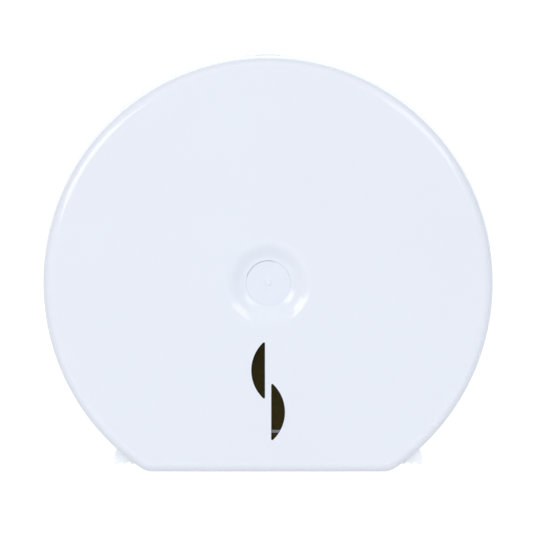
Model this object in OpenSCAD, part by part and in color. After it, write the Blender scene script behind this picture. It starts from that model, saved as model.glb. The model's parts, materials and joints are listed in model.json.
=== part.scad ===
// Jumbo toilet roll dispenser: a round wall plate with a roll hub, and a hinged, lockable cover.
// The wall is the plane y = 0, the roll turns about the Y axis, and the front faces -Y.

/* [Body] */
// Radius of the round body, where it meets the wall
body_r = 172.5; // [168:0.5:180]
// Distance from the wall to the front face
body_depth = 130; // [126:1:145]
// Distance from the roll axis down to the flat underside
body_drop = 145.5; // [140:0.5:150]
// Radius of the two bottom corners, seen from the front
corner_r = 20; // [17:0.5:24]
// Thickness of the cover's walls
wall = 2.5; // [2:0.1:3]
// Draft of the cover's sides, in degrees
draft = 1.4; // [0.6:0.1:1.8]
// Rounding between the cover's sides and its front face
front_round = 7.5; // [6:0.5:11]
// Gap between the wall and the rear edge of the cover
rear_gap = 2; // [1.5:0.1:3]

/* [Finger dish] */
// Outer radius of the dish in the middle of the front face
dish_r = 35.5; // [31:0.5:36]
// Radius of the flat disc at the bottom of the dish
dish_floor_r = 17; // [12:0.5:20]
// Depth of the dish
dish_depth = 7.25; // [4:0.25:8]
// How far the steepest part of the dish's side lies towards the floor: 1 is halfway down
dish_bias = 1.3; // [1:0.05:1.4]
// Depth of the small step round the flat disc
dish_step = 0.8; // [0.4:0.1:1.2]

/* [Level window] */
// Height of each half of the S-shaped window
window_h = 42.4; // [36:0.2:46]
// Width of each half of the window
window_w = 10.4; // [8:0.2:12]
// Width of the web between the two halves
window_web = 4.7; // [4:0.1:7]
// Distance from the roll axis down to the middle of the window
window_drop = 81.6; // [80:0.1:85]
// Height difference between the two halves
window_step = 31.4; // [28:0.2:34]
// Rounding of the window's four tips
window_tip_r = 0.9; // [0.5:0.1:1.4]
// Thickness of the smoked window sheet
sheet_t = 1.8; // [1.2:0.1:2.4]
// Border of the sheet round the window
sheet_border = 6; // [5:0.5:8]
// Height of the bar that clamps the sheet, seen through the window's lower half
clamp_bar_h = 2.2; // [1.6:0.1:2.8]
// Thickness of the clamp bar
clamp_bar_t = 2; // [1.5:0.1:3]

/* [Paper mouth and tear bars] */
// Height of the flanks' lower edge above the underside
mouth_rise = 20; // [18:0.5:22]
// Distance from the wall to the rear edge of the paper mouth
mouth_back = 18; // [16:0.5:22]
// Depth of the solid lip behind the front face, below the mouth
front_lip = 14; // [12:0.5:18]
// Outer radius of the tear bar's rolled lower edge
bar_r = 9; // [8.5:0.1:9.5]
// Drop of the roll's centre below the flanks' lower edge
bar_drop = 8; // [7:0.1:8.5]
// Thickness of the tear bar
bar_t = 1.8; // [1.4:0.1:2.2]
// Spacing of the teeth
tooth_pitch = 5.5; // [5:0.1:6.5]
// Depth of the teeth
tooth_depth = 1.7; // [1.2:0.1:2.2]
// Height of the tooth tips above the underside
tooth_rise = 8; // [7:0.1:9]
// Reach of the toothed front leg towards the middle
front_leg = 22; // [16:0.5:26]

/* [Wall plate] */
// Thickness of the wall plate
plate_t = 2.5; // [2:0.1:3.2]
// Clearance between the plate and the cover round it
plate_gap = 1.5; // [1.2:0.1:2.5]
// Depth of the plate's rim
rim_h = 8; // [6:0.5:8.5]
// Thickness of the plate's rim and ribs
rib_t = 2.2; // [1.6:0.1:3]
// Height of the plate's ribs
rib_h = 3.5; // [2:0.25:5]
// Spacing of the wall screws, side to side
screw_dx = 150; // [130:1:170]
// Spacing of the wall screws, up and down
screw_dz = 140; // [120:1:160]
// Diameter of the wall screw holes
screw_hole_d = 5.5; // [4.5:0.1:6.5]

/* [Spindle and hub] */
// Diameter of the fixed spindle
spindle_d = 24; // [20:0.5:28]
// Radial running clearance of the hub and the lock plug
running_gap = 0.08; // [0.03:0.01:0.1]
// Outer diameter of the turning hub
hub_d = 44; // [40:0.5:48]
// Outer diameter of the core adapter
adapter_d = 57; // [54:0.5:60]
// Length of the adapter
adapter_l = 80; // [60:1:84]
// Diameter of the hub's rear flange
flange_d = 92; // [80:1:110]
// Thickness of the hub's rear flange
flange_t = 3; // [2:0.25:4]
// Length of the hub from its rear flange to its front end
hub_l = 91; // [80:1:95]

/* [Hinge] */
// Height of the hinge axis above the underside
hinge_rise = 7.5; // [7:0.1:8]
// Distance of the hinge axis from the wall
hinge_out = 8.2; // [8.2:0.1:9.5]
// Diameter of the hinge pins
pin_d = 5; // [4:0.1:5.4]
// Distance from the middle to the inner face of each hinge ear
ear_x = 78; // [70:0.5:80]
// Thickness of each ear
ear_t = 6; // [4:0.5:8]

/* [Lock] */
// Distance of the lock's axis from the wall
lock_out = 24; // [23:0.5:26]
// Diameter of the lock sleeve
sleeve_d = 13; // [12:0.25:14]
// Diameter of the lock plug
plug_d = 9; // [8:0.25:9.5]
// Reach of the cam from the lock's axis
cam_reach = 18; // [17.5:0.1:18.5]
// Thickness of the cam
cam_t = 2.5; // [2:0.1:3]

/* [Hidden] */

$fn = 96;
eps = 0.01;
big = 400;

white = "#eef1f4";
grey = "#c9ced3";
steel = "#a9adb1";
smoke = "#3a2f22";

// The outline: a big circle, a flat underside, and corner arcs tangent to both.
corner_up = corner_r - body_drop;
corner_x = sqrt(pow(body_r - corner_r, 2) - pow(corner_up, 2));
wedge = atan(corner_x / -corner_up);
// The corner arcs are drawn this much too large, so that they cross the sides instead of grazing them.
corner_blend = 0.1;
window_tip_blend = 0.02;

// Radius of the cover's side at a distance out from the wall, at a depth inside its outer face.
function side_r(out, inset = 0) = body_r - out * tan(draft) - inset / cos(draft);
// Half width of a circle of radius r at a height.
function half_width(r, up) = sqrt(r * r - up * up);

front_inner = body_depth - wall;
front_rib_angles = [-28, 16, 60];
front_rib_gap = 3;
front_rib_margin = 16;
front_ring_r = 112;
plate_rib_angles = [-30, 0, 30, 66];
dish_wall = 1.25 * wall;
dish_back = body_depth - dish_depth - dish_wall;
dish_steps = 14;
dish_lip = 2;
nub_d = 3.6;
nub_h = 0.9;

sheet_h = window_h + window_step + 2 * sheet_border;
sheet_w = 2 * window_w + window_web + 2 * (sheet_border + 1);
sheet_gap = 0.3;
sheet_out = front_inner - sheet_t;
sheet_rim = 1.5;
sheet_round = 5;
stake_d = 3.2;
stake_gap = 0.15;
stake_head_d = 6;
stake_head_t = 1.2;
stake_inset = 4.6;
stake_root = 0.5;
seat_rise = 0.6;
clamp_eye = 2.5;
clamp_rise = 6.4;
clamp_drop = window_drop + window_step / 2 + window_h / 2 - clamp_rise;

stake_x = sheet_w / 2 - stake_inset;
sheet_stakes_up = [sheet_h / 2 - window_drop - stake_inset, -clamp_drop];

mouth_up = mouth_rise - body_drop;
mouth_front = body_depth - front_lip;
bar_back = mouth_back + 2;
bar_front = mouth_front - 4;
flank_x = half_width(side_r(bar_front), mouth_up);
bar_bulge = 2.4;
bar_x = flank_x + bar_bulge - bar_r;
bar_up = mouth_up - bar_drop;
// Which way the straight part of the blade faces: it runs from the flank's edge, tangent to the roll.
bar_far = [flank_x - bar_x, bar_drop];
bar_face = atan(bar_far.y / bar_far.x) - acos(bar_r / norm(bar_far));
bar_n = [cos(bar_face), sin(bar_face)];
bar_seat_gap = 0.2;
shelf_in = 3;
shelf_inset = 0.3;
tooth_in = 3.2;
tooth_tip = tooth_rise - body_drop;
bar_low = asin(-mouth_up / side_r(bar_front, wall));
flange_sweep = 7.5;
bar_stakes = [bar_back + 14, bar_front - 14];
bar_stake_angle = flange_sweep / 2 - bar_low + 0.8;

plate_inset = wall + plate_gap;
rim_out = plate_t + rim_h;
rim_end = 42;
rim_low = rim_end - body_drop;
hinge_up = hinge_rise - body_drop;
plate_low = hinge_up + 1;
seat_r = 42;
seat_out = plate_t + 3.5;
spindle_wall = 4;
spindle_tip = 21;
spindle_flange_t = 4;
spindle_flange_r = 34;
spindle_flange_out = seat_out + spindle_flange_t;
washer_t = 1.8;
hub_out = spindle_flange_out + washer_t + 0.2;
hub_front = hub_out + hub_l;
cap_out = hub_front + 0.3;
cap_t = 4;
cap_lip = 5;
lead_in = 2;
adapter_play = 0.2;
flange_screw_r = 26;
flange_screws = [90, 210, 330];
flange_hole_d = 9;
flange_hole_r = 37;
small_screw_d = 4;
small_head_d = 8;
small_head_t = 1.6;
hub_screw_d = 5;
hub_screw_l = 18;
hub_screw_head_d = 10;
hub_screw_head_t = 2.2;
hub_screw_sink = 2.5;
screw_play = 0.5;
pilot_gap = 0.1;
wall_boss_r = 8;
wall_boss_t = 3;

pin_gap = 0.06;
ear_r = hinge_rise - wall - 0.3;
boss_x = ear_x + ear_t + 0.5;
pin_head_t = 1.5;
pin_tip_x = boss_x + 11;
pin_head_lip = 1.5;
pin_slack = 0.3;
pin_end_gap = 0.5;
boss_blend = 0.3;
boss_foot = 0.8;
hinge_space = 8;

lock_top = side_r(lock_out) - 0.3;
lock_rim_d = sleeve_d + 7;
lock_rim_t = 1.5;
lock_rim_play = 0.3;
lock_boss_wall = 6.5;
sleeve_play = 0.15;
sleeve_l = 18;
lock_boss_low = lock_top - 8;
lock_washer_t = 0.8;
lock_washer_lip = 4;
lock_gap = 0.2;
nut_t = 4;
nut_lip = 3.5;
sleeve_low = lock_top - sleeve_l;
sleeve_flat = 0.42 * sleeve_d;
tang = 5;
cam_up = sleeve_low - 0.3;
hook_t = 2.5;
hook_side = 9;
cam_half = 3;
cam_hub_r = 6;
tang_play = 0.2;
cam_screw_d = 3;
cam_screw_head_d = 8;
cam_screw_head_t = 2;
cam_screw_l = 7;
plug_head_d = plug_d + 2;
plug_head_t = 0.8;
plug_head_gap = 0.2;
key_w = 5.6;
key_t = 1.2;
key_depth = 4;
catch_t = 3;
catch_side = 12;
catch_low = cam_up - cam_t - 10;
catch_top = cam_up + 4;
catch_foot = 13;
catch_screw_d = 3;
catch_screw_x = -catch_side - catch_t - catch_screw_d - 1;
catch_screws_up = [catch_low + 4, catch_top - 4];
catch_back = lock_out - cam_reach + hook_t + 0.5;

// Turns x, up, out-from-the-wall into the part's own x, y, z.
module from_wall() { rotate([90, 0, 0]) children(); }
// A cylinder along x, from one x to another.
module across(d, x0, x1) { translate([x0, 0, 0]) rotate([0, 90, 0]) cylinder(d = d, h = x1 - x0); }
// A cylinder that stands up from one height to another.
module upright(d, up0, up1) { translate([0, up0, 0]) rotate([-90, 0, 0]) cylinder(d = d, h = up1 - up0); }
// A flat shape, drawn in x and out, that hangs down from its top for a thickness.
module slice(top, t) { translate([0, top, 0]) rotate([90, 0, 0]) linear_extrude(t) children(); }
module both_sides() { for (side = [0, 1]) mirror([side, 0, 0]) children(); }
module block(x0, x1, up0, up1, out0, out1) {
    translate([x0, up0, out0]) cube([x1 - x0, up1 - up0, out1 - out0]);
}

// ---- The drafted, rounded D that the cover is made from ----

// Section of the slab's edge: a drafted side and a rounded front, r0 wide at the wall.
module edge_section(r0, inset, back) {
    arc_out = body_depth - front_round;
    arc_x = r0 - arc_out * tan(draft) - front_round / cos(draft);
    r = front_round - inset;
    tangent = [arc_x + r * cos(draft), arc_out + r * sin(draft)];
    polygon([[0, back], [tangent.x + (tangent.y - back) * tan(draft), back], tangent,
             [arc_x, arc_out + r], [0, arc_out + r]]);
    translate([arc_x, arc_out]) intersection() {
        circle(r);
        square(2 * r);
    }
}

module disc(inset, back) {
    rotate_extrude($fn = 180) edge_section(body_r, inset, back);
}

// Everything above the flat underside, which is drafted and rounded like the sides.
module above_underside(inset, back) {
    translate([big, 0, 0]) rotate([90, 0, -90]) linear_extrude(2 * big) {
        edge_section(body_drop, inset, back);
        translate([-big, back]) square([big + 1, body_depth - inset - back]);
    }
}

// What lies outside the rounded corner, between the underside and the side.
module corner_waste(inset, back) {
    translate([corner_x, corner_up, 0]) difference() {
        translate([0, 0, back - 1]) linear_extrude(body_depth)
            polygon([[0, 0], [0, -2 * corner_r], 3 * corner_r * [sin(wedge), -cos(wedge)]]);
        rotate_extrude() edge_section(corner_r + corner_blend, inset, back - 2);
    }
}

module slab(inset, back) {
    difference() {
        intersection() {
            disc(inset, back);
            above_underside(inset, back);
        }
        both_sides() corner_waste(inset, back);
    }
}

// ---- Cover ----

// Depth of the dish's sloping side at a radius: a smooth S from the front face to the floor.
function dish_fall(r) = dish_depth * (1 - cos(180 * pow((dish_r - r) / (dish_r - dish_floor_r), dish_bias))) / 2;
dish_curve = [for (i = [0:dish_steps]) let (r = dish_r + (dish_floor_r - dish_r) * i / dish_steps)
    [r, dish_fall(r)]];

module dish_body() {
    rotate_extrude() polygon(concat(
        [[0, front_inner + eps], [dish_r + dish_lip, front_inner + eps], [dish_r + dish_lip, body_depth - dish_wall]],
        [for (p = dish_curve) [p.x, body_depth - dish_wall - p.y]], [[0, dish_back]]));
}

module dish_cut() {
    floor_out = body_depth - dish_depth - dish_step;
    difference() {
        rotate_extrude() polygon(concat([[0, body_depth + 1], [dish_r, body_depth + 1]],
            [for (p = dish_curve) [p.x, body_depth - p.y]], [[dish_floor_r, floor_out], [0, floor_out]]));
        intersection() {
            translate([0, 0, floor_out - 1]) cylinder(d = nub_d, h = 1 + nub_h);
            translate([0, 0, floor_out + nub_h - nub_d]) sphere(nub_d);
        }
    }
}

// One half of the S: the part of a big circle on one side of a line, with its two tips rounded.
module half_window(side) {
    tip_up = window_h / 2 - window_tip_r;
    flat_w = window_w - 2 * window_tip_r;
    tip_reach = (flat_w * flat_w + tip_up * tip_up) / (2 * flat_w);
    r = tip_reach + window_tip_r;
    centre_x = window_w - r;
    tip_side = [window_tip_r - centre_x, tip_up] / tip_reach;
    translate([side * window_web / 2, -window_drop - side * window_step / 2]) mirror([side > 0 ? 0 : 1, 0])
        difference() {
            translate([centre_x, 0]) circle(r);
            translate([-2 * r, -r]) square(2 * r);
            for (end = [0, 1]) mirror([0, end]) translate([window_tip_r, tip_up]) difference() {
                polygon([[0, 0], [-window_w, 0], [-window_w, window_w], window_w * tip_side]);
                circle(window_tip_r + window_tip_blend);
            }
        }
}

module rounded(w, h, r) {
    square([w - 2 * r, h], center = true);
    square([w, h - 2 * r], center = true);
    for (x = [-1, 1], y = [-1, 1]) translate([x * (w / 2 - r), y * (h / 2 - r)]) circle(r);
}

// A formed stake, head uppermost, that stands on z = 0 and holds a stack of a given height.
module stake(stack) {
    translate([0, 0, -stake_root]) cylinder(d = stake_d, h = stack + stake_root + eps);
    translate([0, 0, stack]) cylinder(d = stake_head_d, h = stake_head_t);
}

module window_seat() {
    translate([0, -window_drop, sheet_out - seat_rise]) linear_extrude(sheet_t + seat_rise + eps) difference() {
        rounded(sheet_w + 2 * (sheet_gap + sheet_rim), sheet_h + 2 * (sheet_gap + sheet_rim),
                sheet_round + sheet_gap + sheet_rim);
        rounded(sheet_w + 2 * sheet_gap, sheet_h + 2 * sheet_gap, sheet_round + sheet_gap);
    }
    both_sides() for (row = [0, 1])
        translate([stake_x, sheet_stakes_up[row], front_inner]) mirror([0, 0, 1])
            stake(sheet_t + row * clamp_bar_t);
}

// The stakes that hold a tear bar's flange to the inside of the flank, on the right.
module bar_stake(out) {
    r = side_r(out, wall);
    a = bar_stake_angle;
    translate([r * cos(a), r * sin(a), out]) rotate([0, 0, a]) rotate([0, -90, 0]) stake(bar_seat_gap + bar_t + 0.1);
}

module front_ribs() {
    translate([0, 0, front_inner + eps - rib_h]) linear_extrude(rib_h) {
        difference() {
            circle(front_ring_r + rib_t / 2);
            circle(front_ring_r - rib_t / 2);
            translate([-sheet_w, -big]) square([2 * sheet_w, big]);
        }
        both_sides() for (a = front_rib_angles) rotate(a) translate([dish_r + front_rib_gap, -rib_t / 2])
            square([body_r - front_rib_margin - dish_r, rib_t]);
    }
}

module lock_shape(d, c) {
    intersection() {
        circle(d = d + 2 * c);
        square([2 * (sleeve_flat + c), d + 4 * c], center = true);
    }
}

module hinge_boss() {
    across(2 * (hinge_rise - wall + boss_blend), boss_x, big);
    translate([boss_x, -hinge_rise + boss_foot, 0]) cube([big, hinge_rise - boss_foot, hinge_rise - wall]);
}

module cover() {
    color(white) from_wall() difference() {
        union() {
            difference() {
                slab(0, rear_gap);
                slab(wall, -1);
                block(-big, big, -big, mouth_up, mouth_back, mouth_front);
            }
            dish_body();
            window_seat();
            front_ribs();
            both_sides() for (out = bar_stakes) bar_stake(out);
            intersection() {
                disc(wall / 2, rear_gap);
                union() {
                    translate([0, 0, lock_out]) upright(sleeve_d + 2 * lock_boss_wall, lock_boss_low, big);
                    both_sides() translate([0, hinge_up, hinge_out]) hinge_boss();
                }
            }
        }
        block(-big, big, -big, hinge_up, -1, hinge_out);
        both_sides() translate([0, hinge_up, hinge_out]) across(pin_d + 2 * pin_gap, ear_x, pin_tip_x + pin_end_gap);
        dish_cut();
        translate([0, 0, body_depth - wall - 1]) linear_extrude(wall + 2) for (side = [-1, 1]) half_window(side);
        translate([0, 0, lock_out]) {
            upright(lock_rim_d + 2 * lock_rim_play, lock_top - lock_rim_t, big);
            slice(big, big) lock_shape(sleeve_d, sleeve_play);
        }
    }
}

// ---- Window ----

module window_sheet() {
    color(smoke, 0.8) from_wall() difference() {
        translate([0, -window_drop, sheet_out]) linear_extrude(sheet_t) rounded(sheet_w, sheet_h, sheet_round);
        both_sides() for (up = sheet_stakes_up)
            translate([stake_x, up, sheet_out - 1]) cylinder(d = stake_d + 2 * stake_gap, h = sheet_t + 2);
    }
}

module window_clamp() {
    color(white) from_wall() translate([0, -clamp_drop, sheet_out - clamp_bar_t]) difference() {
        union() {
            block(-stake_x, stake_x, -clamp_bar_h / 2, clamp_bar_h / 2, 0, clamp_bar_t);
            both_sides() translate([stake_x, 0, 0]) cylinder(d = stake_d + 2 * clamp_eye, h = clamp_bar_t);
        }
        both_sides() translate([stake_x, 0, -1]) cylinder(d = stake_d + 2 * stake_gap, h = clamp_bar_t + 2);
    }
}

// ---- Tear bars ----

// Height of the toothed edge at a place along it: rounded teeth, tips down.
function tooth_up(s) = tooth_tip + tooth_depth * (1 - cos(360 * s / tooth_pitch)) / 2;

// A sheet that hangs from the mouth's edge, from s = from to s = to, with a tooth's tip at s = tip.
module toothed(from, to, tip) {
    steps = round((to - from) / tooth_pitch * 8);
    polygon(concat([[to, mouth_up], [from, mouth_up]],
        [for (i = [0:steps]) let (s = from + (to - from) * i / steps) [s, tooth_up(s - tip)]]));
}

// What the blade wraps: the roll, and the straight part above it.
module bar_roll(inset) {
    translate([bar_x, bar_up]) {
        circle(bar_r - inset);
        polygon([[0, 0], (bar_r - inset) * bar_n, (bar_r - inset) * bar_n + bar_drop * [-bar_n.y, bar_n.x],
                 [0, 2 * bar_drop]]);
    }
}

module tear_bar() {
    shelf_t = bar_t;
    flange_face = wall + bar_seat_gap;
    shelf_x = half_width(side_r(bar_back, wall) - bar_seat_gap - bar_t, mouth_up - shelf_t);
    outer_x = flank_x - shelf_inset;
    inner_x = bar_x - front_leg;
    blade_l = bar_front - bar_back;
    // The rolled blade that hangs below the flank, toothed along its lower edge.
    intersection() {
        translate([0, 0, bar_back]) linear_extrude(blade_l) difference() {
            intersection() {
                bar_roll(0);
                translate([bar_x, -big]) square([big, big + mouth_up]);
            }
            bar_roll(bar_t);
        }
        translate([big, 0, bar_back]) rotate([0, -90, 0]) linear_extrude(big)
            toothed(-eps, blade_l, blade_l - tooth_pitch / 2);
    }
    // The toothed front leg, which closes the blade's front end.
    translate([0, 0, bar_front - bar_t]) linear_extrude(bar_t) intersection() {
        translate([inner_x, 0]) toothed(0, front_leg + bar_r, front_leg + bar_r - tooth_in);
        union() {
            bar_roll(0);
            translate([inner_x, -big]) square([front_leg, big]);
        }
    }
    // The shelf under the flank's edge, and the flange inside the flank.
    block(shelf_x - shelf_in, outer_x, mouth_up - shelf_t, mouth_up, bar_back, bar_front);
    difference() {
        intersection() {
            rotate_extrude(angle = flange_sweep + 2, start = -bar_low - 2, $fn = 180) polygon([
                [side_r(bar_back, flange_face), bar_back], [side_r(bar_front, flange_face), bar_front],
                [side_r(bar_front, flange_face + bar_t), bar_front], [side_r(bar_back, flange_face + bar_t), bar_back]]);
            block(0, big, mouth_up - shelf_t, big, 0, big);
        }
        for (out = bar_stakes) translate([0, 0, out]) rotate([0, 0, bar_stake_angle]) rotate([0, 90, 0])
            cylinder(d = stake_d + 2 * stake_gap, h = big);
    }
}

module tear_bar_right() { color(white) from_wall() tear_bar(); }
module tear_bar_left() { color(white) from_wall() mirror([1, 0, 0]) tear_bar(); }

// ---- Hinge ----

module hinge_pin() {
    translate([0, hinge_up, hinge_out]) {
        across(pin_d, ear_x - pin_slack, pin_tip_x);
        across(pin_d + 2 * pin_head_lip, ear_x - pin_slack - pin_head_t, ear_x - pin_slack);
    }
}

module hinge_pin_right() { color(steel) from_wall() hinge_pin(); }
module hinge_pin_left() { color(steel) from_wall() mirror([1, 0, 0]) hinge_pin(); }

// ---- Wall plate ----

// The plate's outline: round, cut off above the hinge and clear of the cover's lower corners.
module plate_outline() {
    r = body_r - plate_inset;
    corner_cut = half_width(r, rim_low);
    difference() {
        circle(r, $fn = 180);
        translate([-big, plate_low - 2 * big]) square(2 * big);
        both_sides() polygon([[corner_cut, rim_low], [big, rim_low], [big, -big],
                              [ear_x + ear_t + hinge_space, -big], [ear_x + ear_t + hinge_space, plate_low]]);
    }
}

module back_plate() {
    color(grey) from_wall() difference() {
        union() {
            linear_extrude(plate_t) plate_outline();
            // The rim, which the cover closes over, stops above the hinge corners.
            linear_extrude(rim_out) difference() {
                circle(body_r - plate_inset, $fn = 180);
                circle(body_r - plate_inset - rib_t, $fn = 180);
                translate([-big, -big]) square([2 * big, big + rim_low]);
            }
            // Ribs from the hub's seat out to the rim.
            linear_extrude(plate_t + rib_h) intersection() {
                both_sides() for (a = plate_rib_angles) rotate(a) translate([0, -rib_t / 2])
                    square([body_r - plate_inset - rib_t / 2, rib_t]);
                difference() {
                    circle(body_r);
                    circle(seat_r - 1);
                }
            }
            cylinder(r = seat_r, h = seat_out);
            for (x = [-1, 1], z = [-1, 1]) translate([x * screw_dx / 2, z * screw_dz / 2, 0])
                cylinder(r = wall_boss_r, h = plate_t + wall_boss_t);
            both_sides() translate([0, hinge_up, hinge_out]) {
                across(2 * ear_r, ear_x, ear_x + ear_t);
                block(ear_x, ear_x + ear_t, 0.5, ear_r + 5, -hinge_out, ear_r);
            }
        }
        for (x = [-1, 1], z = [-1, 1]) translate([x * screw_dx / 2, z * screw_dz / 2, -1])
            cylinder(d = screw_hole_d, h = plate_t + wall_boss_t + 2);
        both_sides() translate([0, hinge_up, hinge_out]) across(pin_d + 2 * pin_gap, ear_x - 1, ear_x + ear_t + 1);
        for (a = flange_screws) rotate(a) translate([flange_screw_r, 0, -1])
            cylinder(d = small_screw_d + 2 * pilot_gap, h = seat_out + 2);
        for (up = catch_screws_up) translate([catch_screw_x, up, -1])
            cylinder(d = catch_screw_d + 2 * pilot_gap, h = plate_t + 2);
    }
}

// The steel catch that the lock's hook turns behind: a foot on the plate, a wall and a bar.
module lock_catch() {
    color(steel) from_wall() difference() {
        union() {
            block(-catch_side - catch_foot, -catch_side, catch_low, catch_top, plate_t, plate_t + catch_t);
            block(-catch_side - catch_t, -catch_side, catch_low, catch_top, plate_t, catch_back + catch_t);
            block(-catch_side - catch_t, -cam_half - 1, catch_low, catch_top, catch_back, catch_back + catch_t);
        }
        for (up = catch_screws_up) translate([catch_screw_x, up, 0])
            cylinder(d = catch_screw_d + screw_play, h = big);
    }
}

module catch_screws() {
    color(steel) from_wall() for (up = catch_screws_up) translate([catch_screw_x, up, plate_t + catch_t])
        screw(catch_screw_d, 2 * catch_screw_d, catch_screw_d / 2, catch_t + plate_t - 0.5);
}

// ---- Spindle and hub ----

module spindle() {
    color(grey) from_wall() difference() {
        union() {
            translate([0, 0, seat_out]) cylinder(r = spindle_flange_r, h = spindle_flange_t);
            translate([0, 0, seat_out]) cylinder(d = spindle_d, h = cap_out - seat_out);
        }
        translate([0, 0, seat_out - 1]) cylinder(d = spindle_d - 2 * spindle_wall, h = cap_out - seat_out - spindle_tip);
        translate([0, 0, cap_out - spindle_tip]) cylinder(d = hub_screw_d + 2 * pilot_gap, h = spindle_tip + 1);
        for (a = flange_screws) rotate(a) translate([flange_screw_r, 0, seat_out - 1])
            cylinder(d = small_screw_d + screw_play, h = spindle_flange_t + 2);
    }
}

// A round-headed screw, its head on z = 0 and its shank below, with a cross slot.
module screw(d, head_d, head_t, shank) {
    difference() {
        union() {
            translate([0, 0, -shank]) cylinder(d = d, h = shank + eps);
            intersection() {
                cylinder(d = head_d, h = head_t);
                translate([0, 0, head_t - head_d]) sphere(head_d);
            }
        }
        for (a = [0, 90]) rotate(a) translate([-0.3 * head_d, -0.5, 0.45 * head_t]) cube([0.6 * head_d, 1, head_t]);
    }
}

module spindle_screws() {
    color(steel) from_wall() for (a = flange_screws) rotate(a) translate([flange_screw_r, 0, spindle_flange_out])
        screw(small_screw_d, small_head_d, small_head_t, seat_out + spindle_flange_t - 1);
}

module ring(d_in, d_out, out0, out1) {
    difference() {
        translate([0, 0, out0]) cylinder(d = d_out, h = out1 - out0);
        translate([0, 0, out0 - 1]) cylinder(d = d_in, h = out1 - out0 + 2);
    }
}

module brake_washer() {
    color("#5b6066") from_wall() ring(spindle_d + screw_play, 2 * (flange_screw_r - small_head_d / 2 - 1),
                                      spindle_flange_out, spindle_flange_out + washer_t);
}

module core_hub() {
    color(white) from_wall() difference() {
        union() {
            translate([0, 0, hub_out]) cylinder(d = flange_d, h = flange_t);
            translate([0, 0, hub_out]) cylinder(d = hub_d, h = hub_l);
        }
        translate([0, 0, hub_out - 1]) cylinder(d = spindle_d + 2 * running_gap, h = hub_l + 2);
        for (a = [0:45:315]) rotate(a) translate([flange_hole_r, 0, hub_out - 1])
            cylinder(d = flange_hole_d, h = flange_t + 2);
    }
}

module core_adapter() {
    back = hub_out + flange_t;
    front = back + adapter_l;
    r = adapter_d / 2;
    color(grey) from_wall() difference() {
        rotate_extrude() polygon([[0, back], [r, back], [r, front - lead_in], [r - lead_in, front], [0, front]]);
        translate([0, 0, back - 1]) cylinder(d = hub_d + 2 * adapter_play, h = adapter_l + 2);
    }
}

module hub_cap() {
    r = spindle_d / 2 + cap_lip;
    front = cap_out + cap_t;
    sink = front - hub_screw_sink;
    color(grey) from_wall() difference() {
        rotate_extrude() polygon([[0, cap_out], [r, cap_out], [r, front - lead_in], [r - lead_in, front], [0, front]]);
        translate([0, 0, cap_out - 1]) cylinder(d = hub_screw_d + screw_play, h = cap_t + 2);
        translate([0, 0, sink]) cylinder(d = hub_screw_head_d + 1, h = cap_t);
    }
}

module hub_screw() {
    color(steel) from_wall() translate([0, 0, cap_out + cap_t - hub_screw_sink])
        screw(hub_screw_d, hub_screw_head_d, hub_screw_head_t, hub_screw_l);
}

// ---- Lock ----

module lock_sleeve() {
    color(steel) from_wall() translate([0, 0, lock_out]) difference() {
        union() {
            slice(lock_top, lock_top - sleeve_low) lock_shape(sleeve_d, 0);
            upright(lock_rim_d, lock_top - lock_rim_t, lock_top);
        }
        upright(plug_d + 2 * running_gap, sleeve_low - 1, lock_top + 1);
        upright(plug_head_d + 2 * plug_head_gap, lock_top - plug_head_t - 0.3, lock_top + 1);
    }
}

module lock_washer() {
    top = lock_boss_low;
    color(steel) from_wall() translate([0, 0, lock_out]) difference() {
        upright(sleeve_d + 2 * lock_washer_lip, top - lock_washer_t, top);
        upright(sleeve_d + 2 * lock_gap, top - big, top + big);
    }
}

module lock_nut() {
    top = lock_boss_low - lock_washer_t;
    color(steel) from_wall() translate([0, 0, lock_out]) difference() {
        slice(top, nut_t) circle(d = sleeve_d + 2 * nut_lip, $fn = 6);
        upright(sleeve_d + lock_gap, top - big, top + big);
    }
}

module lock_plug() {
    color("#8d9297") from_wall() translate([0, 0, lock_out]) difference() {
        union() {
            upright(plug_d, cam_up, lock_top - 0.2);
            upright(plug_head_d, lock_top - 0.2 - plug_head_t, lock_top - 0.2);
            block(-tang / 2, tang / 2, cam_up - cam_t, cam_up + eps, -tang / 2, tang / 2);
        }
        block(-key_w / 2, key_w / 2, lock_top - key_depth, lock_top + 1, -key_t / 2, key_t / 2);
        upright(cam_screw_d + 2 * pilot_gap, cam_up - 6, cam_up + 6);
    }
}

module lock_cam() {
    color("#8d9297") from_wall() translate([0, 0, lock_out]) slice(cam_up, cam_t) difference() {
        union() {
            circle(cam_hub_r);
            translate([0, -cam_half]) square([cam_reach, 2 * cam_half]);
            translate([cam_reach - hook_t, -hook_side]) square([hook_t, hook_side]);
        }
        square(tang + tang_play, center = true);
    }
}

module cam_screw() {
    color(steel) from_wall() translate([0, cam_up - cam_t, lock_out]) rotate([90, 0, 0])
        screw(cam_screw_d, cam_screw_head_d, cam_screw_head_t, cam_screw_l);
}

back_plate();
lock_catch();
catch_screws();
spindle();
spindle_screws();
brake_washer();
hub_cap();
hub_screw();
core_hub();
core_adapter();
cover();
window_sheet();
window_clamp();
tear_bar_left();
tear_bar_right();
hinge_pin_left();
hinge_pin_right();
lock_sleeve();
lock_washer();
lock_nut();
lock_plug();
lock_cam();
cam_screw();
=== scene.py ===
# %% [markdown]
# # A jumbo toilet roll dispenser
#
# The real object is a round, flat-bottomed box of glossy white ABS that hangs on a washroom wall.
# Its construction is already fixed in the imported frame: plate, spindle, hub, cover, lock and tear bars.
# This script gives those parts their finish, adds the surfaces that need a finer mesh than the frame
# has, and lights the whole thing like a product picture on white.

# %% Load the frame
import json
import math

import bmesh
import bpy
import numpy as np
from mathutils import Matrix, Vector


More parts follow.
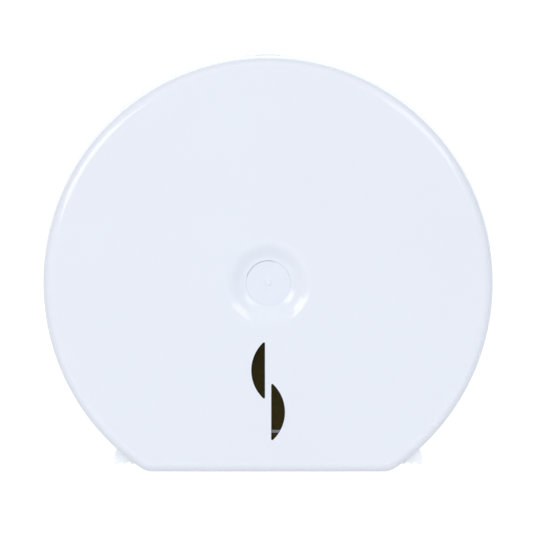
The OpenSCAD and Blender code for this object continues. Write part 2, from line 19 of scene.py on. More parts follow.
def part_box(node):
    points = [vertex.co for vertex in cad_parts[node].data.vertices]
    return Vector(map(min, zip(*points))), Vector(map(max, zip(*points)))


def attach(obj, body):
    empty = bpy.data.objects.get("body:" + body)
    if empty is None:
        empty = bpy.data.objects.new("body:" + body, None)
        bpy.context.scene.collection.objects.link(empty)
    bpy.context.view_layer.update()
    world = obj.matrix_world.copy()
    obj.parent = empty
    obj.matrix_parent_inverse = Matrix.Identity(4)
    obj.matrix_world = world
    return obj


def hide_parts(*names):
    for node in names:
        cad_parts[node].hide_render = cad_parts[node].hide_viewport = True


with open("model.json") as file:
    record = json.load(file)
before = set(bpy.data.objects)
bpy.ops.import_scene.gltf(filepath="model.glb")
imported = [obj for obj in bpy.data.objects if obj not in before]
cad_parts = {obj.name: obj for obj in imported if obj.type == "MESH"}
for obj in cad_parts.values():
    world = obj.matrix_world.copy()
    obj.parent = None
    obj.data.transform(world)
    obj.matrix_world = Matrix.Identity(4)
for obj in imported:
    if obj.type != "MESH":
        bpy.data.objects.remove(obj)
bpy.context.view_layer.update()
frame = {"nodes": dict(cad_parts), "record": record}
record = frame["record"]
nodes = frame["nodes"]

# %% [markdown]
# ## The camera
#
# The picture is taken from far away with a long lens, so the round front shows almost no perspective.
# The camera stands a little above the roll's axis: the top of the rear rim just shows over the front.
# The lens is worked out from the distance and from how wide the picture is at the cover's front edge.

# %% Camera
mm_per_m = 1000
picture_px = 533
sensor_width = 0.036
camera_distance = 6.5
camera_elevation = math.radians(1.35)
metres_per_px = 0.0007545
axis_px = (268.1, 282.7)
front_edge_y = -0.121


def add_object(name, data):
    """A new object in the scene, at the origin."""
    thing = bpy.data.objects.new(name, data)
    bpy.context.scene.collection.objects.link(thing)
    return thing


aim = Vector((
    (picture_px / 2 - axis_px[0]) * metres_per_px,
    front_edge_y,
    (axis_px[1] - picture_px / 2) * metres_per_px,
))
camera_data = bpy.data.cameras.new("studio_camera")
camera_data.sensor_width = sensor_width * mm_per_m
camera_data.lens = mm_per_m * sensor_width * camera_distance / (picture_px * metres_per_px)
camera_data.clip_end = 100
camera = add_object("studio_camera", camera_data)
to_camera = Vector((0, -math.cos(camera_elevation), math.sin(camera_elevation)))
camera.location = aim + camera_distance * to_camera
camera.rotation_euler = (math.pi / 2 - camera_elevation, 0, 0)
bpy.context.scene.camera = camera
print("lens:", round(camera_data.lens, 1), "mm")

# %% [markdown]
# ## Shared surface effects
#
# Moulded plastic is never perfectly even. Two small node groups hold what every plastic part here has
# in common: a faint waviness of the skin, which breaks up reflections, and the dust and rubbing that
# change colour and roughness a little. Each is built once and placed in each material with its own
# values, so one change reaches them all.

# %% Helpers for node trees
def new_group(name, inputs, outputs):
    """An empty shader node group with float inputs {name: default} and outputs {name: socket type}."""
    group = bpy.data.node_groups.new(name, "ShaderNodeTree")
    for label, default in inputs.items():
        socket = group.interface.new_socket(label, in_out="INPUT", socket_type="NodeSocketFloat")
        socket.default_value = default
    for label, kind in outputs.items():
        group.interface.new_socket(label, in_out="OUTPUT", socket_type=kind)
    return group, group.nodes.new("NodeGroupInput"), group.nodes.new("NodeGroupOutput")


def fill_socket(tree, socket, value):
    """Give a socket a number, or link another socket to it."""
    if isinstance(value, (int, float)):
        socket.default_value = value
    else:
        tree.links.new(value, socket)


def maths(tree, operation, *values):
    """A Math node; the values are numbers or sockets."""
    node = tree.nodes.new("ShaderNodeMath")
    node.operation = operation
    for socket, value in zip(node.inputs, values):
        fill_socket(tree, socket, value)
    return node.outputs[0]


def remap(tree, value, low, high, to_low=0.0, to_high=1.0):
    """Value, from low to high, becomes to_low to to_high, and stays inside them."""
    node = tree.nodes.new("ShaderNodeMapRange")
    tree.links.new(value, node.inputs["Value"])
    for label, number in zip(("From Min", "From Max", "To Min", "To Max"), (low, high, to_low, to_high)):
        fill_socket(tree, node.inputs[label], number)
    return node.outputs["Result"]


# %% Helpers for textures
def object_coordinates(tree):
    """Object coordinates, which are metres in the part's own frame."""
    return tree.nodes.new("ShaderNodeTexCoord").outputs["Object"]


def stretched_coordinates(tree, scale, rotation=(0.0, 0.0, 0.0)):
    """Object coordinates, turned and scaled axis by axis, for marks that run one way."""
    node = tree.nodes.new("ShaderNodeMapping")
    tree.links.new(object_coordinates(tree), node.inputs["Vector"])
    node.inputs["Rotation"].default_value = rotation
    node.inputs["Scale"].default_value = scale
    return node.outputs["Vector"]


def noise(tree, scale, detail, coordinates=None):
    """A noise texture, on Object coordinates where no others are given."""
    node = tree.nodes.new("ShaderNodeTexNoise")
    node.inputs["Detail"].default_value = detail
    if coordinates is None:
        coordinates = object_coordinates(tree)
    tree.links.new(coordinates, node.inputs["Vector"])
    fill_socket(tree, node.inputs["Scale"], scale)
    return node.outputs["Fac"]


# %% The skin of a moulding
def build_moulded_skin():
    """Height of a moulded skin: slow waves a few centimetres long, and a fine orange peel."""
    group, inputs, outputs = new_group(
        "moulded_skin",
        {"Wave Scale": 22.0, "Peel Scale": 900.0, "Peel Share": 0.05},
        {"Height": "NodeSocketFloat"},
    )
    waves = noise(group, inputs.outputs["Wave Scale"], detail=1.0)
    peel = noise(group, inputs.outputs["Peel Scale"], detail=2.0)
    fine = maths(group, "MULTIPLY", peel, inputs.outputs["Peel Share"])
    group.links.new(maths(group, "ADD", waves, fine), outputs.inputs["Height"])
    return group


moulded_skin = build_moulded_skin()
print("group:", moulded_skin.name)


# %% Dust and wipe marks
def build_handling():
    """Masks for dust and rubbing: soft clouds, and thin wipe marks that run across the part."""
    group, inputs, outputs = new_group(
        "handling",
        {"Cloud Scale": 9.0, "Mark Scale": 60.0, "Amount": 1.0},
        {"Dust": "NodeSocketFloat", "Marks": "NodeSocketFloat"},
    )
    clouds = remap(group, noise(group, inputs.outputs["Cloud Scale"], detail=4.0), low=0.42, high=0.7)
    wiped = stretched_coordinates(group, scale=(0.4, 1.0, 1.3), rotation=(0.0, 0.5, 0.3))
    streaks = noise(group, inputs.outputs["Mark Scale"], detail=3.0, coordinates=wiped)
    marks = remap(group, streaks, low=0.5, high=0.8)
    for label, mask in (("Dust", clouds), ("Marks", marks)):
        group.links.new(maths(group, "MULTIPLY", mask, inputs.outputs["Amount"]), outputs.inputs[label])
    return group


handling = build_handling()
print("group:", handling.name)

# %% [markdown]
# ## The plastics
#
# Cover, tear bars, hub and plate are the same family of plastic in different tones and polishes.
# The cover's mould was polished, so it is glossy; the plate and hub come from a spark-eroded mould and
# stay dull. One function makes them all. The colour moves by a percent or two with the dust mask, and
# the roughness with both masks, which is as much as a new white moulding shows.
#
# The tear bars look as bright as the cover, though they sit back in its shade. A weak blue emission, the
# same all over, is painted light that makes up for that shade, and so is their base colour, set lighter
# than the cover's. A lighter base colour alone can't do it, because it is nearly 1 already.

# %% Helpers for materials
def new_material(name):
    """A node material, its node tree and its shader."""
    material = bpy.data.materials.new(name)
    material.use_nodes = True
    return material, material.node_tree, material.node_tree.nodes["Principled BSDF"]


def use_group(tree, group, **values):
    """The group, placed in a material, with its inputs set: underscores stand for spaces."""
    node = tree.nodes.new("ShaderNodeGroup")
    node.node_tree = group
    for label, value in values.items():
        node.inputs[label.replace("_", " ")].default_value = value
    return node


def tinted(tree, mask, clean, marked):
    """A colour that goes from clean to marked as the mask goes from 0 to 1."""
    mix = tree.nodes.new("ShaderNodeMix")
    mix.data_type = "RGBA"
    tree.links.new(mask, mix.inputs["Factor"])
    mix.inputs["A"].default_value = (*clean, 1)
    mix.inputs["B"].default_value = (*marked, 1)
    return mix.outputs["Result"]


def add_bump(tree, shader, height, depth_mm):
    """A bump for the shader, from a height that goes from 0 to 1 over depth_mm."""
    bump = tree.nodes.new("ShaderNodeBump")
    bump.inputs["Distance"].default_value = depth_mm / mm_per_m
    tree.links.new(height, bump.inputs["Height"])
    tree.links.new(bump.outputs["Normal"], shader.inputs["Normal"])


# %% A moulded plastic
abs_ior = 1.53


def plastic(name, clean, marked, polish, roughness_rise=0.08, gloss=0.5,
            wave_mm=0.02, peel_scale=900.0, peel_share=0.05):
    """A moulded plastic: its colours, how polished it is, and how wavy its skin is."""
    material, tree, shader = new_material(name)
    masks = use_group(tree, handling)
    skin = use_group(tree, moulded_skin, Peel_Scale=peel_scale, Peel_Share=peel_share)
    tree.links.new(tinted(tree, masks.outputs["Dust"], clean, marked), shader.inputs["Base Color"])
    rough = maths(tree, "MULTIPLY_ADD", masks.outputs["Marks"], roughness_rise, polish)
    tree.links.new(rough, shader.inputs["Roughness"])
    add_bump(tree, shader, skin.outputs["Height"], wave_mm)
    shader.inputs["IOR"].default_value = abs_ior
    shader.inputs["Specular IOR Level"].default_value = gloss
    return material


# %% Plastic materials
cover_white = plastic("cover_white", (0.82, 0.862, 0.95), (0.81, 0.85, 0.938), polish=0.10,
                      roughness_rise=0.04, gloss=0.42)
# The bars' colour, lighter than the cover's, is partly painted light against the cover's shade.
bar_white = plastic("bar_white", (0.955, 0.975, 0.995), (0.925, 0.95, 0.97), polish=0.24)
clamp_white = plastic("clamp_white", (0.72, 0.77, 0.84), (0.68, 0.73, 0.80), polish=0.42)
hub_white = plastic("hub_white", (0.78, 0.79, 0.80), (0.72, 0.73, 0.73), polish=0.42,
                    wave_mm=0.03, peel_scale=1400.0, peel_share=0.2)
plate_grey = plastic("plate_grey", (0.52, 0.54, 0.56), (0.47, 0.48, 0.49), polish=0.50,
                     wave_mm=0.04, peel_scale=1300.0, peel_share=0.3)
adapter_grey = plastic("adapter_grey", (0.40, 0.43, 0.46), (0.36, 0.38, 0.40), polish=0.45,
                       wave_mm=0.03, peel_scale=1300.0, peel_share=0.2)
# This grey is painted shade: white plastic as it looks in shadow, for the strip across the window.
painted_shade_grey = plastic("painted_shade_grey", (0.19, 0.212, 0.235), (0.17, 0.19, 0.21), polish=0.38, wave_mm=0.005)
felt = plastic("felt", (0.055, 0.06, 0.07), (0.10, 0.10, 0.11), polish=0.92,
               wave_mm=0.4, peel_scale=2200.0, peel_share=2.0)

# The bars' emission is painted light, standing in for the light that the cover's shade takes from them.
bar_painted_light_shader = bar_white.node_tree.nodes["Principled BSDF"]
bar_painted_light_shader.inputs["Emission Color"].default_value = (0.72, 0.86, 1.0, 1.0)
bar_painted_light_shader.inputs["Emission Strength"].default_value = 0.13
print("plastics from", cover_white.name, "to", felt.name)

# %% [markdown]
# ## The smoked window
#
# The window is a thin sheet of clear plastic with brown-black dye in it. It is real transmission here,
# and not an alpha trick: light is tinted as it goes through, so the dark hollow behind looks nearly
# black.

# %% Smoked sheet
acrylic_ior = 1.49
dusty_share = 1.15


def smoked_plastic(name, tint, polish, roughness_rise=0.05):
    """Clear dyed plastic: nearly full transmission, tinted by its base colour."""
    material, tree, shader = new_material(name)
    masks = use_group(tree, handling, Amount=0.6)
    dusty = tuple(dusty_share * c for c in tint)
    tree.links.new(tinted(tree, masks.outputs["Dust"], tint, dusty), shader.inputs["Base Color"])
    rough = maths(tree, "MULTIPLY_ADD", masks.outputs["Marks"], roughness_rise, polish)
    tree.links.new(rough, shader.inputs["Roughness"])
    shader.inputs["Transmission Weight"].default_value = 0.9
    shader.inputs["IOR"].default_value = acrylic_ior
    return material


window_smoke = smoked_plastic("window_smoke", (0.108, 0.079, 0.020), polish=0.06)
print("window:", window_smoke.name)

# %% [markdown]
# ## The metals
#
# Screws and pins are zinc plated: bright, slightly bluish, with fine turning lines round them. The lock
# is nickel plated die-cast zinc, which is smoother and warmer. A noise stretched along one axis gives
# the drawn or turned lines, as colour, roughness and a very shallow bump.

# %% Metal materials
def metal(name, colour, polish, line_scale, lines_along, line_mm=0.004,
          stretch=0.04, darker_share=0.82, roughness_rise=0.12):
    """A plated metal whose fine lines run along one axis of the part."""
    material, tree, shader = new_material(name)
    scale = tuple(stretch if axis == lines_along else 1.0 for axis in "xyz")
    along = stretched_coordinates(tree, scale)
    lines = noise(tree, line_scale, detail=3.0, coordinates=along)
    darker = tuple(darker_share * c for c in colour)
    tree.links.new(tinted(tree, lines, darker, colour), shader.inputs["Base Color"])
    rough = remap(tree, lines, low=0.3, high=0.7, to_low=polish, to_high=polish + roughness_rise)
    tree.links.new(rough, shader.inputs["Roughness"])
    add_bump(tree, shader, lines, line_mm)
    shader.inputs["Metallic"].default_value = 1.0
    return material


steel = metal("steel", (0.66, 0.68, 0.70), polish=0.28, line_scale=1800.0, lines_along="y")
lock_zinc = metal("lock_zinc", (0.74, 0.73, 0.70), polish=0.16, line_scale=1500.0, lines_along="z",
                  line_mm=0.002)
cam_steel = metal("cam_steel", (0.56, 0.58, 0.60), polish=0.34, line_scale=1600.0, lines_along="x")
print("metals:", steel.name, lock_zinc.name, cam_steel.name)

# %% [markdown]
# ## Dressing the frame
#
# Each node of the frame names the slot that its finish comes from. One table from slot to material
# dresses them all, the ones hidden inside too, because the cover opens and the views go all round.

# %% Dress the nodes of the frame
slot_of = {part["node"]: part["material_slot"] for part in record["subparts"]}
finish_of = {
    "cover_white": cover_white, "bar_white": bar_white, "clamp_white": clamp_white,
    "hub_white": hub_white, "plate_grey": plate_grey, "adapter_grey": adapter_grey,
    "felt": felt, "window_smoke": window_smoke,
    "steel": steel, "lock_zinc": lock_zinc, "cam_steel": cam_steel,
}
for name, node in nodes.items():
    node.data.materials.clear()
    node.data.materials.append(finish_of[slot_of[name]])
print("dressed", len(nodes), "nodes")

# %% [markdown]
# ## The cover's polished skin
#
# A glossy moulding is judged by its reflections, and they follow the surface's normals, not its outline.
# The frame's mesh is a good outline with rather few facets, so a lamp's reflection would break up along
# the rounded front edge. The way out is a copy of the same shell: its triangles are merged, the long
# edges round the roll's axis are cut in four, and each point is put back on the exact profile, which is
# known: a drafted side, a quarter round and a flat face, turned about the axis. The normals come from
# the same profile. The dish has its own, an S-shaped slope.

# %% The profile of the cover
body_r, body_depth, draft, front_round = 0.1725, 0.13, math.radians(1.4), 0.0075
round_out = body_depth - front_round
round_r = body_r - round_out * math.tan(draft) - front_round / math.cos(draft)
side_end = round_out + front_round * math.sin(draft)
almost_zero = 1e-9
print("the round's circle: radius", round(round_r, 5), "out", round(round_out, 5))


def unit(vectors):
    """The vectors' directions and their lengths."""
    length = np.linalg.norm(vectors, axis=1)
    return vectors / np.maximum(length, almost_zero)[:, None], length


def polar(points):
    """Radius and unit direction round the roll's axis, and the distance out from the wall."""
    around, radius = unit(points[:, [0, 2]])
    return radius, around, -points[:, 1]


def to_space(pairs, around):
    """(radius, out) pairs as (x, y, z), each in its own direction round the axis."""
    return np.stack([pairs[:, 0] * around[:, 0], -pairs[:, 1], pairs[:, 0] * around[:, 1]], -1)


def rim_profile(radius, out):
    """The nearest place on the outer profile, and the normal there, both as (radius, out) pairs.
    Side: the line radius = body_r - out tan(draft). Round: a circle about (round_r, round_out)."""
    on_side = (out < side_end)[:, None]
    turned, _ = unit(np.stack([radius - round_r, out - round_out], -1))
    side = np.stack([body_r - out * math.tan(draft), out], -1)
    place = np.where(on_side, side, np.array([round_r, round_out]) + front_round * turned)
    normal = np.where(on_side, [[math.cos(draft), math.sin(draft)]], turned)
    return place, normal


# %% [markdown]
# ### The bottom corners
#
# Seen from the front, the round side meets the flat underside in a corner that is rounded too, so that
# the mould can be polished and nobody is scratched. The frame's shell is sharp there. Rounding it
# needs no new shape: the cover's own profile, turned about the middle of a smaller circle that touches
# both the side and the underside, is the corner. The two corners are mirror images.

# %% Which points lie on the rim, and which in a corner
corner_r, corner_wedge, body_drop = 0.020, math.radians(34.6), 0.1455
corner_up = corner_r - body_drop
corner_x = math.sqrt((body_r - corner_r) ** 2 - corner_up ** 2)
corner_core = 0.009                     # nearer to the corner's middle its direction means little
wedge_slack = 0.01                      # radians that the wedge takes in on either side
hair, cosine_slack = 1e-5, 1e-4         # what a comparison forgives for rounding
print("a corner's middle: across", round(corner_x, 5), "up", round(corner_up, 5))


def in_rim(points, slack):
    """True where a point lies on the side or on the round, away from the two bottom corners."""
    radius, around, out = polar(points)
    place, _ = rim_profile(radius, out)
    near = np.hypot(radius - place[:, 0], out - place[:, 1]) < slack
    above_corners = -around[:, 1] < math.cos(corner_wedge) + cosine_slack
    return near & (radius > round_r - hair) & above_corners


def corner_profile(points):
    """The profile turned about the middle of a bottom corner, which is the body's circle with corner_r
    for body_r: the nearest places, the normals there, how far outside each point lies, and which
    points are in the corner's wedge, from straight down round to the side."""
    across, up = np.abs(points[:, 0]) - corner_x, points[:, 2] - corner_up
    out = -points[:, 1]
    way, reach = unit(np.stack([across, up], -1))
    shift = body_r - corner_r
    place, normal = rim_profile(reach + shift, out)
    place = place - [shift, 0.0]
    outside = ((np.stack([reach, out], -1) - place) * normal).sum(1)
    turned = np.arctan2(across, -up)
    within = (turned > -wedge_slack) & (turned < corner_wedge + wedge_slack)
    wedge = within & (up < 0) & (reach > corner_core)
    mirror = np.where(points[:, [0]] < 0, [[-1.0, 1.0, 1.0]], 1.0)
    place = mirror * (to_space(place, way) + [corner_x, 0.0, corner_up])
    return place, mirror * to_space(normal, way), outside, wedge


# %% [markdown]
# ### The refined copy
#
# Subdividing the whole mesh would make it sixteen times heavier for nothing, because the flats and the
# inside are right as they are. So only the edges that a curve needs are cut: the ones that span a wide
# angle on the rim, and the ones in the bottom corners. Then the new points are moved onto the profile.

# %% Helpers for meshes
def read(collection, label, width=3, kind=float):
    """One property of every item of a Blender collection, as an array with width numbers a row."""
    values = np.empty(width * len(collection), kind)
    collection.foreach_get(label, values)
    return values.reshape(-1, width) if width > 1 else values


def smooth(mesh):
    """Mark all faces of the mesh as smooth."""
    mesh.polygons.foreach_set("use_smooth", np.ones(len(mesh.polygons), bool))


# %% The refined copy of the shell
weld, on_surface = 2e-6, 2e-5           # points this near each other are one; this near a surface, on it
narrow, wide = math.radians(1.2), math.radians(8)
rim_cuts, corner_cuts = 3, 5
short_edge = 1e-3                       # a corner's edge is left whole below this length


def edges_to_cut(points, ends):
    """The edges that span a wide angle on the rim, and the longer ones outside a rounded corner."""
    turn = np.arctan2(points[:, 2], points[:, 0])
    span = np.abs((turn[ends[:, 0]] - turn[ends[:, 1]] + math.pi) % (2 * math.pi) - math.pi)
    wide_ones = in_rim(points, on_surface)[ends].all(1) & (span > narrow) & (span < wide)
    _, _, outside, wedge = corner_profile(points)
    length = np.linalg.norm(points[ends[:, 0]] - points[ends[:, 1]], axis=1)
    sharp_ones = (wedge & (outside > -on_surface))[ends].all(1) & (length > short_edge)
    return np.flatnonzero(wide_ones & ~sharp_ones), np.flatnonzero(sharp_ones)


def refined_shell(name, source):
    """A merged copy of the cover whose edges are cut where its curves need more points. It keeps the
    frame's corner normals as an attribute, which follows the cuts."""
    mesh = source.data.copy()
    mesh.name = name
    kept = read(mesh.corner_normals, "vector", kind=np.float32)
    frame_normal = mesh.attributes.new("frame_normal", "FLOAT_VECTOR", "CORNER")
    frame_normal.data.foreach_set("vector", kept.ravel())
    work = bmesh.new()
    work.from_mesh(mesh)
    bmesh.ops.remove_doubles(work, verts=work.verts, dist=weld)
    points = np.array([v.co[:] for v in work.verts])
    ends = np.array([[v.index for v in e.verts] for e in work.edges])
    work.edges.ensure_lookup_table()
    wide_ones, sharp_ones = ([work.edges[i] for i in chosen] for chosen in edges_to_cut(points, ends))
    bmesh.ops.subdivide_edges(work, edges=wide_ones, cuts=rim_cuts)
    bmesh.ops.subdivide_edges(work, edges=[e for e in sharp_ones if e.is_valid], cuts=corner_cuts)
    bmesh.ops.triangulate(work, faces=work.faces)
    work.to_mesh(mesh)
    work.free()
    return mesh


shell_mesh = refined_shell("cover_shell", nodes["cover"])
print("triangles of the frame's cover:", len(nodes["cover"].data.polygons),
      "and of the copy:", len(shell_mesh.polygons))

# %% Points on the exact profile
dish_r, dish_floor_r, dish_depth, dish_bias, disc_step = 0.0355, 0.017, 0.00725, 1.3, 0.0008
floor_out = body_depth - dish_depth
disc_out = floor_out - disc_step
chord_sag = 1.3e-4                      # a new point on a cut edge lies at most this far inside
sharp_reach = 1.5e-3                    # the sharp corner stands out from the rounded one by less
disc_share, disc_shift = 0.972, (0.00015, -0.0003)      # the disc's edge, drawn in and off the axis

shell_points = read(shell_mesh.vertices, "co")
radius, around, out = polar(shell_points)
place, _ = rim_profile(radius, out)
on_rim = in_rim(shell_points, chord_sag)
shell_points[on_rim] = to_space(place, around)[on_rim]

place, _, outside, wedge = corner_profile(shell_points)
on_corner = wedge & (outside > -on_surface) & (outside < sharp_reach)
shell_points[on_corner] = place[on_corner]

on_disc_edge = (np.abs(radius - dish_floor_r) < on_surface) & (np.abs(out - disc_out) < on_surface)
disc_edge = np.ix_(on_disc_edge, [0, 2])
shell_points[disc_edge] = disc_share * shell_points[disc_edge] + disc_shift
shell_mesh.vertices.foreach_set("co", shell_points.ravel())
shell_mesh.update()
print("points set on the rim:", int(on_rim.sum()), "on the corners:", int(on_corner.sum()),
      "on the disc's edge:", int(on_disc_edge.sum()))

# %% [markdown]
# ### Exact normals
#
# A mesh can carry a normal for each corner of each triangle, apart from the way that the triangle faces.
# Where a triangle lies on a known surface, its corners get that surface's own normal, and elsewhere they
# keep the frame's. A triangle counts only if all its corners lie on the surface and it faces the same
# way, or else the inside of the shell would be lit as the outside. The wall of the small disc in the
# dish gets flat normals, because its edges are crisp.

# %% Helpers for normals
def dish_slope(radius):
    """Slope of the dish's side: the fall is depth (1 - cos(pi u^bias)) / 2, where u goes from 0 at the
    dish's edge to 1 at its floor."""
    reach = dish_r - dish_floor_r
    u = np.clip((dish_r - radius) / reach, 0.0, 1.0)
    turned = math.pi * u ** dish_bias
    return -dish_depth / 2 * np.sin(turned) * math.pi * dish_bias * u ** (dish_bias - 1) / reach


def whole_faces(corner_mask):
    """True for the corners of the triangles of which all three corners are in the mask."""
    return corner_mask.reshape(-1, 3).all(1).repeat(3)


def same_way(normal, least_cosine):
    """True where a normal and its triangle's own are close in direction."""
    return (normal * face_normal).sum(1) > least_cosine


# %% The surfaces' own normals at each corner
corner_point = read(shell_mesh.loops, "vertex_index", width=1, kind=int)
face_normal = read(shell_mesh.polygons, "normal").repeat(3, 0)
corners = shell_points[corner_point]
radius, around, out = polar(corners)
rim_normal = to_space(rim_profile(radius, out)[1], around)
_, bottom_normal, outside, wedge = corner_profile(corners)
slope = dish_slope(radius)
dish_normal = to_space(unit(np.stack([slope, np.ones_like(slope)], -1))[0], around)
print("steepest slope of the dish:", round(math.degrees(math.atan(-slope.min())), 1), "degrees")

# %% Exact normals
near_cosine, dish_cosine, flat_cosine, back_cosine = 0.9, 0.95, 0.9999, 0.9
disc_wall_reach = 7e-4                  # the disc's wall leans by less than this
in_dish = (radius < dish_r + hair) & (radius > dish_floor_r - hair) & (out > floor_out - hair)
between = (out < floor_out + hair) & (out > disc_out - hair)
in_disc_wall = between & (np.abs(radius - dish_floor_r) < disc_wall_reach)
rim_faces = whole_faces(on_rim[corner_point]) & same_way(rim_normal, near_cosine)
bottom_faces = whole_faces(wedge & (np.abs(outside) < on_surface)) & same_way(bottom_normal, near_cosine)
dish_faces = whole_faces(in_dish) & same_way(dish_normal, dish_cosine)
flat_faces = whole_faces(np.abs(out - body_depth) < hair) & (face_normal[:, 1] < -flat_cosine)
disc_wall_faces = whole_faces(in_disc_wall) & (face_normal[:, 1] > -back_cosine)

normals = read(shell_mesh.attributes["frame_normal"].data, "vector")
shell_mesh.attributes.remove(shell_mesh.attributes["frame_normal"])
normals[rim_faces] = rim_normal[rim_faces]
normals[bottom_faces] = bottom_normal[bottom_faces]
normals[dish_faces] = dish_normal[dish_faces]
normals[flat_faces] = (0.0, -1.0, 0.0)
normals[disc_wall_faces] = face_normal[disc_wall_faces]
print("exact normals: rim", int(rim_faces.sum()), "bottom corners", int(bottom_faces.sum()), "dish",
      int(dish_faces.sum()), "flat", int(flat_faces.sum()), "disc wall", int(disc_wall_faces.sum()))

# %% The skin takes the cover's place
smooth(shell_mesh)
shell_mesh.normals_split_custom_set(unit(normals)[0])
shell_mesh.materials.clear()
shell_mesh.materials.append(cover_white)
cover_shell = add_object("cover_shell", shell_mesh)
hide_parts("cover")
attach(cover_shell, "cover")
print("cover_shell stands for the cover's node")

# %% [markdown]
# ## The painted shade strip
#
# A thin grey line crosses the lower half of the window. It is a white plastic rib in shade, painted as a
# grey strip on the sheet's face and cut to the window's curved edge: its grey is painted shade. Its
# outline is a height and two edges, so it is made as a closed ring of points at each height, and the two
# ends are capped.

# %% A solid from rings
def skinned_rings(name, rings):
    """A closed solid from an array of rings, shape (rows, points, 3): quads join each ring to the next
    and the first and last ring are capped."""
    rows, points = rings.shape[:2]
    row, point = np.meshgrid(np.arange(rows - 1), np.arange(points), indexing="ij")
    here, after = row * points + point, row * points + (point + 1) % points
    quads = np.stack([here, after, after + points, here + points], -1).reshape(-1, 4).tolist()
    ring = np.arange(points)
    caps = [ring[::-1].tolist(), (ring + (rows - 1) * points).tolist()]
    mesh = bpy.data.meshes.new(name)
    mesh.from_pydata(rings.reshape(-1, 3).tolist(), [], quads + caps)
    return add_object(name, mesh)


# %% Painted shade strip
sheet_low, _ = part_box("window_sheet")
window_centre_up, window_flat_x, arc_r, arc_centre_x = -0.0973, 0.00235, 0.02906, -0.01641
mark_middle_up, mark_height, strip_depth, edge_gap, mark_rows = -0.1119, 0.0021, 0.0002, 0.0001, 9

mark_ups = mark_middle_up + mark_height * np.linspace(-0.5, 0.5, mark_rows)
mark_left = window_flat_x + edge_gap
mark_right = arc_centre_x + np.sqrt(arc_r ** 2 - (mark_ups - window_centre_up) ** 2)
mark_back, mark_front = sheet_low[1], sheet_low[1] - strip_depth


def mark_edge(across, depth):
    """One upright edge of the mark, a point at each height."""
    return np.stack(np.broadcast_arrays(across, depth, mark_ups), -1)


painted_shade_strip = skinned_rings("painted_shade_strip", np.stack([
    mark_edge(mark_left, mark_front), mark_edge(mark_right, mark_front),
    mark_edge(mark_right, mark_back), mark_edge(mark_left, mark_back),
], 1))
# The strip's grey is painted shade, standing in for a white rib in shadow.
painted_shade_strip.data.materials.append(painted_shade_grey)
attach(painted_shade_strip, "cover")
print("refill mark from", round(mm_per_m * mark_left, 2), "to",
      round(mm_per_m * float(mark_right.max()), 2), "mm")

# %% [markdown]
# ## The gate nub
#
# In the middle of the dish's flat disc sits the small dome where the plastic entered the mould. It is a
# few millimetres wide, and it is seen only by the arc of light on its upper side, so its curve matters
# more than its size. A cap of a sphere is enough, worked out ring by ring from its top.

# %% Gate nub
def dome_rings(base_r, height, top_y, sink, top_share=0.02, rings=12, segments=64):
    """Rings of a shallow dome that faces -Y: with t from top_share to 1 times the cap's half angle, the
    radius is R sin(t) and the depth R (1 - cos(t)), R being the sphere's radius. The last ring goes
    straight down into the disc. The turn is clockwise as seen from the front, so faces look outwards."""
    sphere_r = (base_r ** 2 + height ** 2) / (2 * height)
    t = np.linspace(top_share, 1.0, rings) * math.asin(base_r / sphere_r)
    radius = np.append(sphere_r * np.sin(t), base_r)[:, None]
    depth = np.append(sphere_r * (1 - np.cos(t)), height + sink)[:, None]
    turn = np.linspace(0, -2 * math.pi, segments, endpoint=False)[None, :]
    return np.stack(np.broadcast_arrays(radius * np.cos(turn), top_y + depth, radius * np.sin(turn)), -1)


nub_r, nub_height, nub_sink = 0.0025, 0.0011, 0.0004
gate_nub = skinned_rings("gate_nub", dome_rings(nub_r, nub_height, -disc_out - nub_height, nub_sink))
smooth(gate_nub.data)
gate_nub.data.materials.append(cover_white)
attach(gate_nub, "cover")
print("gate nub:", round(2 * mm_per_m * nub_r, 1), "mm across and",
      round(mm_per_m * nub_height, 1), "mm high")

# %% [markdown]
# ## The studio
#
# The background is plain white and there is nothing behind the part, so the outline has to hold by
# itself. A white world alone would flatten the form. So the camera sees pure white, but the part is lit
# by a dimmer world and by large softboxes: the main one high on the left, a weaker one high on the
# right. They draw the bright line along the rounded front edge and shade the dish. A faint panel
# overhead and one low in front fill the shadows. The last fill brightens the face without a reflection
# of itself, as a lamp far behind the camera would.

# %% Softboxes
front_middle = Vector((0.0, -0.12, 0.0))


def softbox(name, off_axis, azimuth, size, watts, colour=(1.0, 1.0, 1.0), mirrored=True, distance=3.0):
    """A rectangular light that faces the front's middle. Off-axis and azimuth, in degrees, place it as
    the camera sees it: off-axis is the angle from the camera's axis, and azimuth is anticlockwise from
    the right. The first size lies along the line towards the camera's axis. A light that isn't mirrored
    brightens surfaces without a reflection of itself."""
    off, turn = math.radians(off_axis), math.radians(azimuth)
    out = Vector((math.sin(off) * math.cos(turn), -math.cos(off), math.sin(off) * math.sin(turn)))
    radial = Vector((math.cos(off) * math.cos(turn), math.sin(off), math.cos(off) * math.sin(turn)))
    light = bpy.data.lights.new(name, "AREA")
    light.shape = "RECTANGLE"
    light.size, light.size_y = size
    light.energy = watts
    light.color = colour
    lamp = add_object(name, light)
    lamp.visible_glossy = mirrored
    lamp.location = front_middle + distance * out
    lamp.rotation_euler = Matrix((radial, out.cross(radial), out)).transposed().to_euler()


softbox("left_strip", off_axis=39, azimuth=147.5, size=(2.3, 0.95), watts=27, colour=(1.0, 0.99, 0.98))
softbox("right_strip", off_axis=39, azimuth=43, size=(2.1, 0.9), watts=14.5, colour=(0.98, 0.99, 1.0))
softbox("top_panel", off_axis=62, azimuth=80, size=(2.0, 2.4), watts=3.5)
softbox("low_fill", off_axis=42, azimuth=275, size=(1.6, 2.4), watts=13)
softbox("front_fill", off_axis=20, azimuth=35, size=(1.4, 1.4), watts=14, mirrored=False)
print("softboxes:", len(bpy.data.lights))

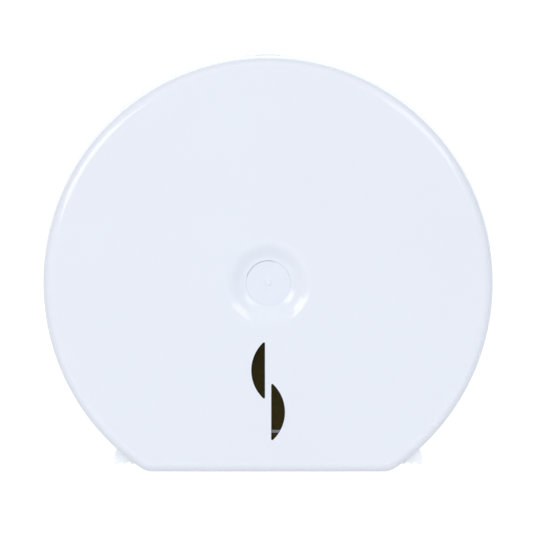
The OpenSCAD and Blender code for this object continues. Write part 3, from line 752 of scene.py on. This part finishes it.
# %% The white world
def white_world(seen, lit, dark_side, backdrop, backdrop_colour, dark_cone, backdrop_band):
    """A white world that the camera sees at one strength and that lights the part at another.
    Towards the camera it falls to dark_side, as a real studio is dark behind its lights, and away
    from the camera it goes over to backdrop, the cool bright sheet behind the part. The cone and the
    band are cosines of the angle to the direction of the camera."""
    world = bpy.data.worlds.new("studio_world")
    bpy.context.scene.world = world
    world.use_nodes = True
    tree = world.node_tree
    background = tree.nodes["Background"]
    direction = tree.nodes.new("ShaderNodeTexCoord")
    product = tree.nodes.new("ShaderNodeVectorMath")
    product.operation = "DOT_PRODUCT"
    tree.links.new(direction.outputs["Generated"], product.inputs[0])
    product.inputs[1].default_value = (0.0, -1.0, 0.0)
    towards_camera = product.outputs["Value"]
    front = remap(tree, towards_camera, *dark_cone, lit, dark_side)
    room = remap(tree, towards_camera, *backdrop_band, backdrop, front)
    is_camera_ray = tree.nodes.new("ShaderNodeLightPath").outputs["Is Camera Ray"]
    tree.links.new(remap(tree, is_camera_ray, 0.0, 1.0, room, seen), background.inputs["Strength"])
    behind = remap(tree, towards_camera, *backdrop_band, 1.0, 0.0)
    cool_share = maths(tree, "MULTIPLY", behind, maths(tree, "SUBTRACT", 1.0, is_camera_ray))
    colour = tinted(tree, cool_share, (1.0, 1.0, 1.0), backdrop_colour)
    tree.links.new(colour, background.inputs["Color"])


white_world(seen=1.05, lit=0.57, dark_side=0.06, backdrop=1.12, backdrop_colour=(0.945, 0.978, 1.05),
            dark_cone=(0.6, 0.985), backdrop_band=(-0.9, -0.2))
print("world:", bpy.context.scene.world.name)

# %% [markdown]
# ## The floor
#
# The real thing hangs on a wall, so nothing stands on the floor. It is a plain pale plane some way below
# the part, there for the soft light that it sends up. It fades out towards its edges, so no horizon
# cuts the white background, and it isn't seen from underneath.

# %% Floor
pale, matt = (0.9, 0.9, 0.9), 0.9


def pale_floor(floor_z, half, solid_r):
    """A square floor that is solid up to solid_r from its middle, has faded out at half its width, and
    shows only from above."""
    material, tree, shader = new_material("floor_paint")
    shader.inputs["Base Color"].default_value = (*pale, 1)
    shader.inputs["Roughness"].default_value = matt
    distance = tree.nodes.new("ShaderNodeVectorMath")
    distance.operation = "LENGTH"
    tree.links.new(object_coordinates(tree), distance.inputs[0])
    solid = remap(tree, distance.outputs["Value"], solid_r, half, 1.0, 0.0)
    underneath = tree.nodes.new("ShaderNodeNewGeometry").outputs["Backfacing"]
    from_above = maths(tree, "SUBTRACT", 1.0, underneath)
    tree.links.new(maths(tree, "MULTIPLY", solid, from_above), shader.inputs["Alpha"])
    corners = [(half * x, half * y, floor_z) for x, y in ((-1, -1), (1, -1), (1, 1), (-1, 1))]
    mesh = bpy.data.meshes.new("floor")
    mesh.from_pydata(corners, [], [(0, 1, 2, 3)])
    mesh.materials.append(material)
    return add_object("floor", mesh)


floor = pale_floor(floor_z=-0.46, half=3.4, solid_r=0.9)
bpy.context.scene.view_settings.view_transform = "Standard"
bpy.context.scene.view_settings.look = "None"
print("floor:", floor.name)
